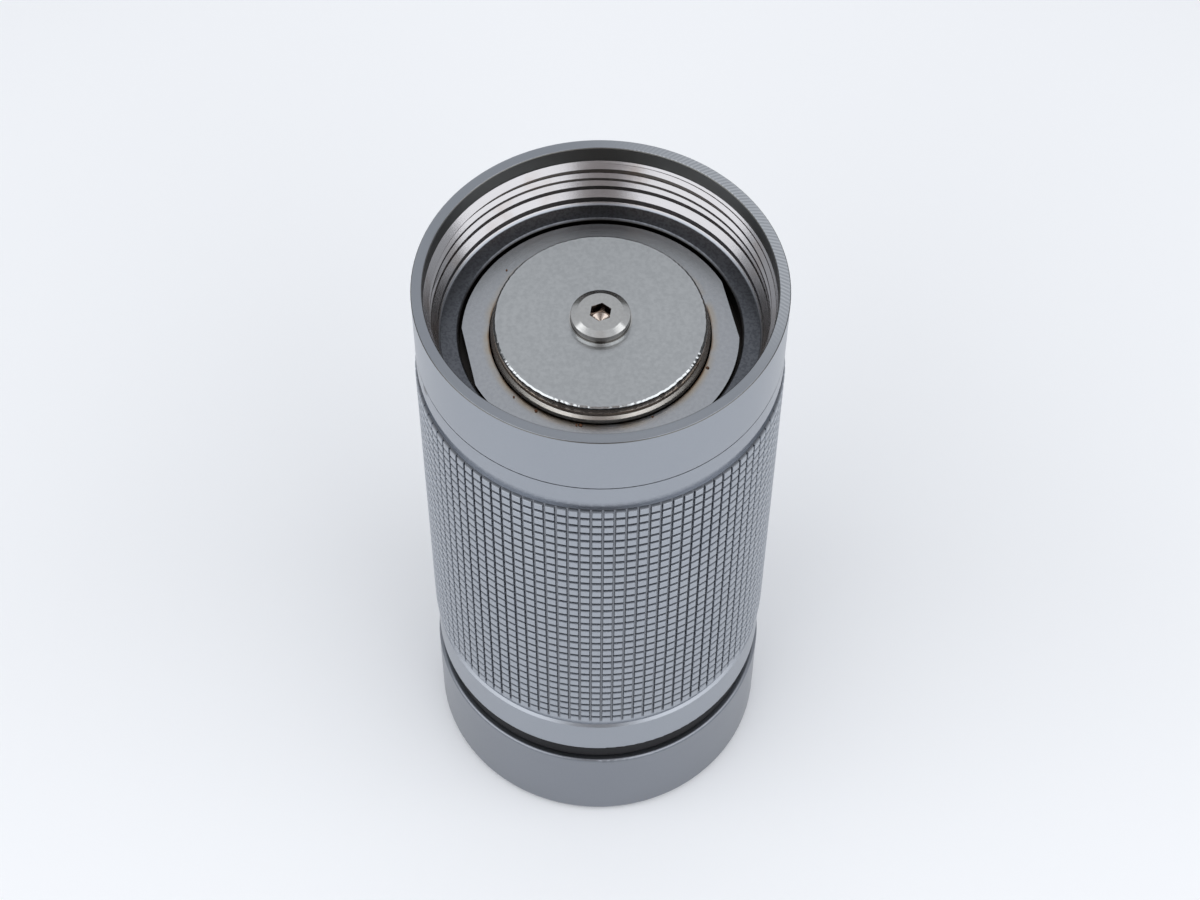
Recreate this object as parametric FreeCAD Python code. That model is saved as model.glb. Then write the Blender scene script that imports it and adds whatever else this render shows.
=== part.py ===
import FreeCAD, Part
import math
import os

# Hand coffee grinder, standing upside down on its foot: cup collar and burrs at the top, bean mouth and
# crank end at the foot. Sizes in mm, +Z up, the Z axis is the axis of the shaft.

# Fits, radial unless said otherwise
SEAT_FIT = 0.04            # pieces pushed or screwed into each other
RUN_FIT = 0.06             # pieces that turn or slide in each other
AXIAL_PLAY = 0.20          # end play of the adjusting ring, at each face
STOP_PLAY = 0.10           # left before a stop is hit, along the axis

# Outside of the body
BODY_RADIUS = 28.0         # smooth bands and cup collar
BODY_LENGTH = 82.0         # lower edge of the body to the collar's parting line
LOWER_BAND = 7.9           # smooth band below the grip
UPPER_BAND = 3.7           # smooth band above the grip
GROOVE_DEPTH = 0.45        # relief grooves at both ends of the grip
GRIP_DEPTH = 0.15          # floor of the knurl below the smooth bands
GROOVE_SLOPE = 0.4
LOWER_GROOVE = 2.2
UPPER_GROOVE = 2.05
EDGE_BREAK = 0.15          # tiny chamfers along the rim
PARTING_GAP = 0.2          # fine groove between body and collar
PARTING_DEPTH = 0.5
BODY_EDGE_ROUND = 0.6
SPIGOT_STEP = 2.3          # collar spigot and body counterbore, in from the outside
BODY_WALL = 4.0            # around the bean hopper
HOPPER_FLOOR = 2.0         # lower edge of the body to the cone below the hopper
HOPPER_CONE = 2.5          # height of that cone

# Neck of the body, inside the adjusting ring
NECK_STEP = 3.4
NECK_WALL = 3.1

# Cup collar, radii in from the outside, depths down from the rim
COLLAR_HEIGHT = 12.0
RIM_WIDTH = 1.7
PILOT_DEPTH = 3.0
CUP_LEAD = 0.9             # lead chamfer, pilot wall to thread crest
CUP_PITCH = 2.2
CUP_THREAD_DEPTH = 0.6
CUP_ROOT_FLAT = 0.6
CUP_FLANK_ANGLE = 40.0
CUP_THREAD_LENGTH = 3.95
CUP_THREAD_END = 151.0     # angle at which the thread runs out
RIDGE_BITE = 0.1           # thread ridges reach this far into the wall that carries them
CUP_LAND = 0.85            # plain land below the thread
CUP_LAND_STEP = 0.05       # thread crest to the land's bore
CUP_LAND_SLOPE = 0.7       # height of the slope from the land up to the thread's root
RUNOUT_STEP = 0.9          # thread crest to the wall above the ledge
RUNOUT_HEIGHT = 0.9
SEAT_WALL_HEIGHT = 1.1
LEDGE_CHAMFER = 0.4
LEDGE_WIDTH = 2.4
HOLE_CHAMFER = 0.3
BURR_SIDE_GAP = 0.45       # ledge hole to burr ring
SPIGOT_LENGTH = 31.0
THROAT_WALL = 2.2          # collar wall where the beans enter

# Burrs
BURR_SINK = 0.7            # ring face below the ledge
BURR_FLANGE = 2.6
BURR_FLAT_DEPTH = 0.7
BURR_FLAT_ANGLE = 13.0
BURR_BARREL_STEP = 1.75
BURR_BARREL_LENGTH = 16.0
BURR_FACE_WIDTH = 4.1
GRIND_GAP = 0.25           # between the burr cones, across
FINISH_LENGTH = 8.2        # length of the fine cone
FINISH_TAPER = 1.0         # loss of radius along it
FEED_TAPER = 0.75          # further loss of radius to the feed end of the ring
FEED_CHAMFER = 1.0
RIM_BEVEL_WIDTH = 0.45     # bright bevelled edge of the inner burr
RIM_BEVEL_HEIGHT = 0.8
BURR_PROUD = 0.9           # inner burr's face above the ring's face
INNER_BURR_HEIGHT = 22.0
BURR_NOSE_RADIUS = 8.0
FINE_TEETH = 36
FINE_TOOTH_DEPTH = 0.55
FINE_TOOTH_WIDTH = 1.3
FINE_TOOTH_LEAN = 2.4
COARSE_TEETH = 7
COARSE_TOOTH_DEPTH = 2.0
COARSE_TOOTH_WIDTH = 4.0
COARSE_TOOTH_LEAN = 6.0
TOOTH_MARGIN = 0.6         # fine teeth stop this far below the faces

# Cap, screw and washer that hold the inner burr
CAP_THICKNESS = 2.35
CAP_EDGE = 0.2
CAP_GROOVE = 0.25
SCREW_RADIUS = 2.5
SCREW_LENGTH = 14.0
SCREW_HOLE_PLAY = 0.15
HEAD_RADIUS = 4.5
HEAD_TOP_RADIUS = 3.5
HEAD_SIDE = 1.1
HEAD_BEVEL = 0.5
SOCKET_ACROSS_FLATS = 3.0
SOCKET_DEPTH = 2.0
SOCKET_POINT = 0.8
SOCKET_DRILL_RADIUS = 1.4
SOCKET_ANGLE = 22.0
WASHER_RADIUS = 4.75
WASHER_THICKNESS = 0.4

# Ball bearings, both alike
BEARING_BORE = 4.0
BEARING_RADIUS = 8.0
BEARING_WIDTH = 5.0
BEARING_EDGE = 0.25
BALL_RADIUS = 1.25
BALL_COUNT = 9
BALL_PLAY = 0.05
RACE_LAND = 0.7            # race shoulders, each side of the pitch circle
CAGE_HALF_WALL = 0.35
CAGE_WEB = 0.35            # cage above and below a ball

# Bridges that carry the bearings
HUB_WALL = 2.6
HUB_LIP = 1.5
HUB_END = 0.6              # hub beyond the clip
LIP_OPENING = 6.4
ARM_COUNT = 3
ARM_ANGLE = 90.0
CLIP_THICKNESS = 1.0
CLIP_GROOVE = 0.55
CLIP_WIDTH = 1.6
CLIP_OPENING = 3.0
CLIP_END_PLAY = 0.05
LOWER_RIM_HEIGHT = 4.0
LOWER_ARM_WIDTH = 5.0
LIFT_ARM_WIDTH = 6.8
LIFT_ARM_HEIGHT = 6.0
SLOT_PLAY = 0.2            # arm side to slot side

# Shaft and spring
SHAFT_END_HEIGHT = 2.0     # crank end above the foot
DRIVE_ACROSS_FLATS = 6.0
DRIVE_LENGTH = 5.6
DRIVE_CHAMFER = 0.5
DRIVE_ANGLE = 30.0
SHAFT_FLAT_DEPTH = 0.8
SHAFT_END_SHORT = 0.5      # shaft end below the burr's face, so that the screw clamps
SHAFT_COLLAR_RADIUS = 6.2
SHAFT_COLLAR_HEIGHT = 2.0
TAP_EXTRA = 2.0
SHAFT_CLIP_RADIUS = 5.6
SHAFT_CLIP_GROOVE = 0.6
SHAFT_CLIP_HEIGHT = 0.9
SHAFT_CLIP_OPENING = 5.0
THRUST_RADIUS = 6.2
THRUST_HEIGHT = 0.7
WIRE_RADIUS = 0.5
SPRING_PITCH = 1.6         # least pitch of the turns
SPRING_SIDE_PLAY = 0.4     # wire to shaft
SPRING_END_PLAY = 0.02

# Foot: mouth ring, its screws, adjusting ring and glide ring
MOUTH_FLANGE = 3.0
MOUTH_SPIGOT = 5.0
MOUTH_WALL = 1.6
MOUTH_EDGE = 0.5
MOUTH_SIDE_GAP = 0.3
SCREW_COUNT = 3
SCREW_ANGLE = 30.0
MOUTH_SCREW_RADIUS = 1.0
MOUTH_SCREW_LENGTH = 8.0
MOUTH_HEAD_RADIUS = 1.9
MOUTH_HEAD_HEIGHT = 1.1
MOUTH_HEAD_SINK = 0.2
MOUTH_SCREW_PLAY = 0.1
DRIVER_SLOT_WIDTH = 0.5
DRIVER_SLOT_DEPTH = 0.5
RING_RISE = 0.3            # adjusting ring stands this much proud of the body
RING_FLOOR_GAP = 0.3
RING_HEIGHT = 18.8
RING_TOP_ROUND = 0.5
RING_FOOT_ROUND = 1.4
RING_RIM_WIDTH = 1.7
RING_LAND = 2.0
ADJUST_STEP = 0.6          # neck to thread crest
ADJUST_PITCH = 1.5
ADJUST_DEPTH = 0.7
ADJUST_MOUTH_WIDTH = 0.95
ADJUST_ROOT_WIDTH = 0.45
ADJUST_FLANK_PLAY = 0.13   # along the axis
ADJUST_TIP_PLAY = 0.15
ADJUST_START = 45.0        # angle at which the thread starts
ADJUST_TRAVEL = 0.75       # lift bridge, each way
GLIDE_HEIGHT = 3.8
GLIDE_RECESS = 0.7
GLIDE_EDGE = 0.3

# Heights that follow, from the foot upwards
ring_foot = RING_FLOOR_GAP
ring_top = ring_foot + RING_HEIGHT
ring_shoulder = MOUTH_FLANGE + AXIAL_PLAY
body_foot = ring_top + AXIAL_PLAY + GLIDE_HEIGHT
grip_foot = body_foot + LOWER_BAND + LOWER_GROOVE
parting = body_foot + BODY_LENGTH
grip_top = parting - UPPER_BAND - UPPER_GROOVE
rim = parting + COLLAR_HEIGHT
spigot_foot = parting - SPIGOT_LENGTH
bridge_seat = spigot_foot - LOWER_RIM_HEIGHT

# Heights in the collar, from the rim downwards
lead_top = rim - PILOT_DEPTH
thread_top = lead_top - CUP_LEAD
thread_foot = thread_top - CUP_THREAD_LENGTH
runout_top = thread_foot - CUP_LAND
runout_foot = runout_top - RUNOUT_HEIGHT
ledge = runout_foot - SEAT_WALL_HEIGHT - LEDGE_CHAMFER
ring_face = ledge - BURR_SINK
burr_seat = ring_face - BURR_FLANGE
burr_feed = burr_seat - BURR_BARREL_LENGTH
burr_face = ring_face + BURR_PROUD
bite_top = burr_face - RIM_BEVEL_HEIGHT
bite_foot = bite_top - FINISH_LENGTH
burr_foot = burr_face - INNER_BURR_HEIGHT
cap_top = burr_face + CAP_THICKNESS
head_seat = cap_top + WASHER_THICKNESS
shaft_end = burr_face - SHAFT_END_SHORT

# Radii that follow, from the outside inwards
pilot_radius = BODY_RADIUS - RIM_WIDTH
cup_crest = pilot_radius - CUP_LEAD
cup_root = cup_crest + CUP_THREAD_DEPTH
seat_wall = cup_crest - RUNOUT_STEP
ledge_radius = seat_wall - LEDGE_CHAMFER
hole_radius = ledge_radius - LEDGE_WIDTH - HOLE_CHAMFER
ring_radius = hole_radius - BURR_SIDE_GAP
barrel_radius = ring_radius - BURR_BARREL_STEP
bite_radius = ring_radius - BURR_FACE_WIDTH
rim_radius = bite_radius - GRIND_GAP
cap_radius = rim_radius - RIM_BEVEL_WIDTH
grip_radius = BODY_RADIUS - GRIP_DEPTH
spigot_radius = BODY_RADIUS - SPIGOT_STEP
hopper_radius = BODY_RADIUS - BODY_WALL
neck_radius = BODY_RADIUS - NECK_STEP
neck_bore = neck_radius - NECK_WALL
mouth_spigot_radius = neck_bore - SEAT_FIT
mouth_radius = mouth_spigot_radius - MOUTH_WALL
mouth_screw_circle = (neck_radius + neck_bore) / 2
foot_radius = BODY_RADIUS + RING_RISE
ring_counterbore = foot_radius - RING_RIM_WIDTH
mouth_flange_radius = ring_counterbore - MOUTH_SIDE_GAP
adjust_crest = neck_radius + ADJUST_STEP
adjust_root = adjust_crest + ADJUST_DEPTH
adjust_slope = (ADJUST_MOUTH_WIDTH - ADJUST_ROOT_WIDTH) / 2 / ADJUST_DEPTH
arm_tip = adjust_crest - ADJUST_TIP_PLAY
hub_radius = BEARING_RADIUS + HUB_WALL
clip_radius = BEARING_RADIUS + CLIP_GROOVE
ball_circle = (BEARING_BORE + BEARING_RADIUS) / 2
shaft_radius = BEARING_BORE - RUN_FIT
shaft_flat = shaft_radius - SHAFT_FLAT_DEPTH

# Heights of the bearings, the spring and the lift bridge
lower_bearing = bridge_seat - HUB_LIP
spring_foot = lower_bearing + BEARING_WIDTH + THRUST_HEIGHT
shaft_collar = burr_foot - SHAFT_COLLAR_HEIGHT
mouth_spigot_end = MOUTH_FLANGE + MOUTH_SPIGOT
lift_foot = mouth_spigot_end + STOP_PLAY + ADJUST_TRAVEL
lift_top = lift_foot + LIFT_ARM_HEIGHT
slot_end = lift_top + ADJUST_TRAVEL + STOP_PLAY
upper_bearing = lift_foot + HUB_END + CLIP_END_PLAY + CLIP_THICKNESS
drive_top = SHAFT_END_HEIGHT + DRIVE_LENGTH

Vector = FreeCAD.Vector
ORIGIN = Vector(0, 0, 0)
UP = Vector(0, 0, 1)


def turned(corners):
    """Solid turned about the Z axis from (radius, height) corners; a third value rounds that corner."""
    count = len(corners)
    points = [Vector(corner[0], 0, corner[1]) for corner in corners]
    starts = []
    middles = []
    ends = []
    for i in range(count):
        here = points[i]
        if len(corners[i]) == 2:
            starts.append(here)
            middles.append(None)
            ends.append(here)
            continue
        back = (points[i - 1] - here).normalize()
        ahead = (points[(i + 1) % count] - here).normalize()
        half = back.getAngle(ahead) / 2
        inward = (back + ahead).normalize()
        radius = corners[i][2]
        starts.append(here + back * (radius / math.tan(half)))
        middles.append(here + inward * (radius / math.sin(half) - radius))
        ends.append(here + ahead * (radius / math.tan(half)))
    edges = []
    for i in range(count):
        if middles[i] is not None:
            edges.append(Part.Arc(starts[i], middles[i], ends[i]).toShape())
        edges.append(Part.makeLine(ends[i], starts[(i + 1) % count]))
    return Part.Face(Part.Wire(edges)).revolve(ORIGIN, UP, 360)


def disc(radius, foot, top):
    """Round bar on the axis."""
    return Part.makeCylinder(radius, top - foot, Vector(0, 0, foot))


def collar(inner, outer, foot, top):
    """Plain ring on the axis."""
    return turned([(inner, foot), (outer, foot), (outer, top), (inner, top)])


def hexagon(across_flats, foot, top, angle):
    """Six-sided bar on the axis with a corner at the given angle."""
    reach = across_flats / math.sqrt(3)
    points = []
    for i in range(7):
        turn = math.radians(angle + 60 * i)
        points.append(Vector(reach * math.cos(turn), reach * math.sin(turn), foot))
    return Part.Face(Part.makePolygon(points)).extrude(UP * (top - foot))


def double_flat(radius, flat, foot, top):
    """Round bar on the axis with two flats at the given distance from it."""
    slab = Part.makeBox(2 * flat, 2 * radius, top - foot, Vector(-flat, -radius, foot))
    return disc(radius, foot, top).common(slab)


def spokes(count, first, inner, outer, width, foot, top):
    """Straight arms that point outwards, evenly spaced from the first angle."""
    arms = []
    for i in range(count):
        arm = Part.makeBox(outer - inner, width, top - foot, Vector(inner, -width / 2, foot))
        arms.append(arm.rotated(ORIGIN, UP, first + 360 * i / count))
    return arms


def ridge_section(crest, base, crest_half, slope):
    """Four (radius, height) corners of a thread ridge, from its base in the wall to its crest."""
    base_half = crest_half + slope * abs(base - crest)
    return [(base, -base_half), (crest, -crest_half), (crest, crest_half), (base, base_half)]


def helical_band(section, pitch, foot, top, angle):
    """Right-hand helical band; its (radius, height) section climbs from foot, at the given angle, to top."""
    corners = [Vector(radius, 0, height) for radius, height in section]
    path = Part.makeHelix(pitch, top - foot, section[0][0])
    sweep = Part.BRepOffsetAPI.MakePipeShell(path)
    sweep.setFrenetMode(True)
    sweep.add(Part.makePolygon(corners + [corners[0]]))
    sweep.build()
    sweep.makeSolid()
    return sweep.shape().translated(UP * foot).rotated(ORIGIN, UP, angle)


def tooth_cutters(count, foot, top, bite, width, lean):
    """Leaning V cutters round the axis. Their grooves open along the line between two (radius, height)
    points, width wide there, and go bite deep: inwards if negative, outwards if positive."""
    cutters = []
    for i in range(count):
        apex = Vector(foot[0] + bite, -lean / 2, foot[1])
        left = Vector(foot[0] - bite, -lean / 2 - width, foot[1])
        right = Vector(foot[0] - bite, -lean / 2 + width, foot[1])
        face = Part.Face(Part.makePolygon([apex, left, right, apex]))
        cutter = face.extrude(Vector(top[0] - foot[0], lean, top[1] - foot[1]))
        cutters.append(cutter.rotated(ORIGIN, UP, 360 * i / count))
    return cutters


def body_tube():
    """Grip tube with its hopper bore, the counterbore for collar and bridge, and the slotted neck."""
    groove = BODY_RADIUS - GROOVE_DEPTH
    band_top = body_foot + LOWER_BAND
    band_foot = parting - UPPER_BAND
    counterbore = spigot_radius + SEAT_FIT
    cone_foot = body_foot + HOPPER_FLOOR
    solid = turned([
        (neck_bore, MOUTH_FLANGE),
        (neck_radius, MOUTH_FLANGE),
        (neck_radius, body_foot),
        (BODY_RADIUS, body_foot, BODY_EDGE_ROUND),
        (BODY_RADIUS, band_top),
        (groove, band_top + GROOVE_SLOPE),
        (groove, grip_foot),
        (grip_radius, grip_foot),
        (grip_radius, grip_top),
        (groove, grip_top),
        (groove, band_foot - GROOVE_SLOPE),
        (BODY_RADIUS, band_foot),
        (BODY_RADIUS, parting),
        (counterbore, parting),
        (counterbore, bridge_seat),
        (hopper_radius, bridge_seat),
        (hopper_radius, cone_foot + HOPPER_CONE),
        (neck_bore, cone_foot),
    ])
    slot_width = LIFT_ARM_WIDTH + 2 * SLOT_PLAY
    slots = spokes(ARM_COUNT, ARM_ANGLE, hub_radius, BODY_RADIUS, slot_width, 0, slot_end)
    taps = screw_places(disc(MOUTH_SCREW_RADIUS + SEAT_FIT, 0, MOUTH_HEAD_SINK + MOUTH_HEAD_HEIGHT
                             + MOUTH_SCREW_LENGTH + TAP_EXTRA))
    return solid.cut(slots + taps)


def screw_places(shape):
    """The shape at each place of the mouth ring's screws."""
    placed = []
    for i in range(SCREW_COUNT):
        copy = shape.translated(Vector(mouth_screw_circle, 0, 0))
        placed.append(copy.rotated(ORIGIN, UP, SCREW_ANGLE + 360 * i / SCREW_COUNT))
    return placed


def cup_collar():
    """Collar with pilot bore, cup thread, ledge and burr seat; its spigot goes down into the body."""
    barrel_bore = barrel_radius + SEAT_FIT
    parting_floor = BODY_RADIUS - PARTING_DEPTH
    solid = turned([
        (pilot_radius, rim - EDGE_BREAK),
        (pilot_radius + EDGE_BREAK, rim),
        (BODY_RADIUS - EDGE_BREAK, rim),
        (BODY_RADIUS, rim - EDGE_BREAK),
        (BODY_RADIUS, parting + PARTING_GAP),
        (parting_floor, parting + PARTING_GAP),
        (parting_floor, parting),
        (spigot_radius, parting),
        (spigot_radius, spigot_foot),
        (spigot_radius - THROAT_WALL, spigot_foot),
        (barrel_bore, burr_feed),
        (barrel_bore, burr_seat),
        (hole_radius, burr_seat),
        (hole_radius, ledge - HOLE_CHAMFER),
        (hole_radius + HOLE_CHAMFER, ledge),
        (ledge_radius, ledge),
        (ledge_radius + LEDGE_CHAMFER, ledge + LEDGE_CHAMFER),
        (seat_wall, runout_foot),
        (cup_crest - CUP_LAND_STEP, runout_top),
        (cup_crest - CUP_LAND_STEP, thread_foot),
        (cup_root, thread_foot + CUP_LAND_SLOPE),
        (cup_root, thread_top + CUP_THREAD_DEPTH),
        (pilot_radius, lead_top),
    ])
    slope = math.tan(math.radians(CUP_FLANK_ANGLE))
    crest_half = (CUP_PITCH - CUP_ROOT_FLAT) / 2 - slope * CUP_THREAD_DEPTH
    section = ridge_section(cup_crest, cup_root + RIDGE_BITE, crest_half, slope)
    ridge = helical_band(section, CUP_PITCH, thread_foot - crest_half, lead_top, CUP_THREAD_END)
    lead = turned([
        (cup_crest - CUP_LEAD, thread_top - CUP_LEAD),
        (pilot_radius + CUP_LEAD, lead_top + CUP_LEAD),
        (cup_crest - CUP_LEAD, lead_top + CUP_LEAD),
    ])
    trimmed = max(ridge.cut(lead).Solids, key=lambda piece: piece.Volume)
    return solid.fuse(trimmed)


def outer_burr():
    """Burr ring, screwed into the collar, with two flats for a spanner and teeth inside."""
    feed = bite_radius - FINISH_TAPER - FEED_TAPER
    fine_foot = ring_face - FINISH_LENGTH
    solid = turned([
        (bite_radius, ring_face),
        (ring_radius, ring_face),
        (ring_radius, burr_seat),
        (barrel_radius, burr_seat),
        (barrel_radius, burr_feed),
        (feed + FEED_CHAMFER, burr_feed),
        (feed, burr_feed + FEED_CHAMFER),
        (bite_radius - FINISH_TAPER, fine_foot),
    ])
    flats = []
    for side in (0, 180):
        box = Part.makeBox(ring_radius, 2 * ring_radius, BURR_FLANGE,
                           Vector(ring_radius - BURR_FLAT_DEPTH, -ring_radius, burr_seat))
        flats.append(box.rotated(ORIGIN, UP, BURR_FLAT_ANGLE + side))
    teeth = tooth_cutters(FINE_TEETH, (bite_radius - FINISH_TAPER, fine_foot),
                          (bite_radius, ring_face - TOOTH_MARGIN),
                          FINE_TOOTH_DEPTH, FINE_TOOTH_WIDTH, -FINE_TOOTH_LEAN)
    return solid.cut(flats + teeth)


def inner_burr():
    """Burr cone with coarse breaking teeth at its nose, fine teeth at its rim and a flatted bore."""
    fine = rim_radius - FINISH_TAPER
    solid = turned([
        (0, burr_foot),
        (BURR_NOSE_RADIUS, burr_foot),
        (fine, bite_foot),
        (rim_radius, bite_top),
        (cap_radius, burr_face),
        (0, burr_face),
    ])
    bore = double_flat(shaft_radius + SEAT_FIT, shaft_flat + SEAT_FIT, burr_foot, burr_face)
    teeth = tooth_cutters(FINE_TEETH, (fine, bite_foot), (rim_radius, bite_top - TOOTH_MARGIN),
                          -FINE_TOOTH_DEPTH, FINE_TOOTH_WIDTH, FINE_TOOTH_LEAN)
    breakers = tooth_cutters(COARSE_TEETH, (BURR_NOSE_RADIUS, burr_foot), (fine, bite_foot),
                             -COARSE_TOOTH_DEPTH, COARSE_TOOTH_WIDTH, COARSE_TOOTH_LEAN)
    return solid.cut([bore] + teeth + breakers)


def burr_cap():
    """Flat turned disc that clamps the inner burr, with a fine groove round its edge."""
    middle = (burr_face + cap_top) / 2
    return turned([
        (SCREW_RADIUS + SCREW_HOLE_PLAY, burr_face),
        (cap_radius - CAP_EDGE, burr_face),
        (cap_radius, burr_face + CAP_EDGE),
        (cap_radius, middle - CAP_GROOVE),
        (cap_radius - CAP_GROOVE, middle),
        (cap_radius, middle + CAP_GROOVE),
        (cap_radius, cap_top - CAP_EDGE),
        (cap_radius - CAP_EDGE, cap_top),
        (SCREW_RADIUS + SCREW_HOLE_PLAY, cap_top),
    ])


def screw_washer():
    """Thin washer below the screw head."""
    return collar(SCREW_RADIUS + SCREW_HOLE_PLAY, WASHER_RADIUS, cap_top, head_seat)


def burr_screw():
    """Screw with a low bevelled head and a hexagon socket that ends in a drill point."""
    top = head_seat + HEAD_SIDE + HEAD_BEVEL
    solid = turned([
        (0, head_seat - SCREW_LENGTH),
        (SCREW_RADIUS, head_seat - SCREW_LENGTH),
        (SCREW_RADIUS, head_seat),
        (HEAD_RADIUS, head_seat),
        (HEAD_RADIUS, head_seat + HEAD_SIDE),
        (HEAD_TOP_RADIUS, top),
        (0, top),
    ])
    floor = top - SOCKET_DEPTH
    drill_point = turned([
        (0, floor - SOCKET_POINT),
        (SOCKET_DRILL_RADIUS, floor),
        (0, floor),
    ])
    socket = hexagon(SOCKET_ACROSS_FLATS, floor, top, SOCKET_ANGLE).fuse(drill_point)
    return solid.cut(socket)


def drive_shaft():
    """Shaft with a hexagon for the crank, a clip groove, a collar under the burr and a tapped flatted end."""
    clip_foot = upper_bearing - SHAFT_CLIP_HEIGHT
    clip_groove = shaft_radius - SHAFT_CLIP_GROOVE
    bar = turned([
        (0, drive_top),
        (shaft_radius, drive_top),
        (shaft_radius, clip_foot),
        (clip_groove, clip_foot),
        (clip_groove, upper_bearing),
        (shaft_radius, upper_bearing),
        (shaft_radius, shaft_collar),
        (SHAFT_COLLAR_RADIUS, shaft_collar),
        (SHAFT_COLLAR_RADIUS, burr_foot),
        (0, burr_foot),
    ])
    point = turned([
        (0, SHAFT_END_HEIGHT),
        (DRIVE_ACROSS_FLATS / 2 - DRIVE_CHAMFER, SHAFT_END_HEIGHT),
        (DRIVE_ACROSS_FLATS, SHAFT_END_HEIGHT + DRIVE_ACROSS_FLATS / 2 + DRIVE_CHAMFER),
        (DRIVE_ACROSS_FLATS, drive_top),
        (0, drive_top),
    ])
    drive = hexagon(DRIVE_ACROSS_FLATS, SHAFT_END_HEIGHT, drive_top, DRIVE_ANGLE).common(point)
    spigot = double_flat(shaft_radius, shaft_flat, burr_foot, shaft_end)
    tap = disc(SCREW_RADIUS + SEAT_FIT, head_seat - SCREW_LENGTH - TAP_EXTRA, shaft_end)
    return bar.fuse([drive, spigot]).cut(tap)


def bearing(foot):
    """Outer race, inner race, balls and cage of a ball bearing with its lower face at foot."""
    top = foot + BEARING_WIDTH
    middle = foot + BEARING_WIDTH / 2
    track = Part.makeTorus(ball_circle, BALL_RADIUS + BALL_PLAY, Vector(0, 0, middle))
    outer = turned([
        (ball_circle + RACE_LAND, foot),
        (BEARING_RADIUS - BEARING_EDGE, foot),
        (BEARING_RADIUS, foot + BEARING_EDGE),
        (BEARING_RADIUS, top - BEARING_EDGE),
        (BEARING_RADIUS - BEARING_EDGE, top),
        (ball_circle + RACE_LAND, top),
    ])
    inner = collar(BEARING_BORE, ball_circle - RACE_LAND, foot, top)
    balls = []
    pockets = []
    for i in range(BALL_COUNT):
        turn = 2 * math.pi * (i + 0.5) / BALL_COUNT
        outwards = Vector(math.cos(turn), math.sin(turn), 0)
        balls.append(Part.makeSphere(BALL_RADIUS, Vector(0, 0, middle) + outwards * ball_circle))
        pocket = Part.makeCylinder(BALL_RADIUS + BALL_PLAY, BEARING_RADIUS, Vector(0, 0, middle), outwards)
        pockets.append(pocket)
    reach = BALL_RADIUS + CAGE_WEB
    cage = collar(ball_circle - CAGE_HALF_WALL, ball_circle + CAGE_HALF_WALL, middle - reach, middle + reach)
    return outer.cut(track), inner.cut(track), Part.makeCompound(balls), cage.cut(pockets)


def inside_clip(foot):
    """Circlip that sits in a groove of a hub, with an opening to squeeze it."""
    outer = clip_radius - SEAT_FIT
    ring = collar(outer - CLIP_WIDTH, outer, foot, foot + CLIP_THICKNESS)
    return ring.cut(spokes(1, ARM_ANGLE, 0, clip_radius, CLIP_OPENING, foot, foot + CLIP_THICKNESS))


def lower_bridge():
    """Fixed three-arm bridge, clamped by its rim between body and collar."""
    bearing_top = lower_bearing + BEARING_WIDTH
    clip_end = bearing_top + CLIP_THICKNESS + CLIP_END_PLAY
    bore = BEARING_RADIUS + SEAT_FIT
    hub = turned([
        (LIP_OPENING, lower_bearing - HUB_LIP),
        (hub_radius, lower_bearing - HUB_LIP),
        (hub_radius, clip_end + HUB_END),
        (bore, clip_end + HUB_END),
        (bore, clip_end),
        (clip_radius, clip_end),
        (clip_radius, bearing_top),
        (bore, bearing_top),
        (bore, lower_bearing),
        (LIP_OPENING, lower_bearing),
    ])
    rim_ring = collar(hopper_radius, spigot_radius, bridge_seat, spigot_foot)
    middle = (hopper_radius + spigot_radius) / 2
    arms = spokes(ARM_COUNT, ARM_ANGLE, (bore + hub_radius) / 2, middle, LOWER_ARM_WIDTH,
                  bridge_seat, spigot_foot)
    return hub.fuse([rim_ring] + arms)


def lift_bridge():
    """Three-arm bridge that slides in the neck's slots; its arm tips carry the adjusting thread."""
    bearing_top = upper_bearing + BEARING_WIDTH
    clip_foot = upper_bearing - CLIP_THICKNESS - CLIP_END_PLAY
    bore = BEARING_RADIUS + SEAT_FIT
    hub = turned([
        (bore, lift_foot),
        (hub_radius, lift_foot),
        (hub_radius, bearing_top + HUB_LIP),
        (LIP_OPENING, bearing_top + HUB_LIP),
        (LIP_OPENING, bearing_top),
        (bore, bearing_top),
        (bore, upper_bearing),
        (clip_radius, upper_bearing),
        (clip_radius, clip_foot),
        (bore, clip_foot),
    ])
    start = (bore + hub_radius) / 2
    arms = spokes(ARM_COUNT, ARM_ANGLE, start, foot_radius, LIFT_ARM_WIDTH, lift_foot, lift_top)
    pieces = []
    for arm in arms:
        pieces.append(arm.common(disc(arm_tip, lift_foot, lift_top)))
    crest = adjust_root - ADJUST_TIP_PLAY
    crest_half = ADJUST_ROOT_WIDTH / 2 + adjust_slope * ADJUST_TIP_PLAY - ADJUST_FLANK_PLAY
    section = ridge_section(crest, arm_tip - RIDGE_BITE, crest_half, adjust_slope)
    spread = 2 * math.degrees(math.asin(LIFT_ARM_WIDTH / 2 / arm_tip))
    for i in range(ARM_COUNT):
        angle = ARM_ANGLE + 360 * i / ARM_COUNT
        middle = ring_shoulder + ADJUST_PITCH * (angle - spread - ADJUST_START) / 360
        while middle < lift_top + ADJUST_PITCH:
            if middle > lift_foot - ADJUST_PITCH:
                rise = ADJUST_PITCH * 2 * spread / 360
                ridge = helical_band(section, ADJUST_PITCH, middle, middle + rise, angle - spread)
                pieces.extend(ridge.common(arms[i]).Solids)
            middle += ADJUST_PITCH
    return hub.fuse(pieces)


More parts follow.
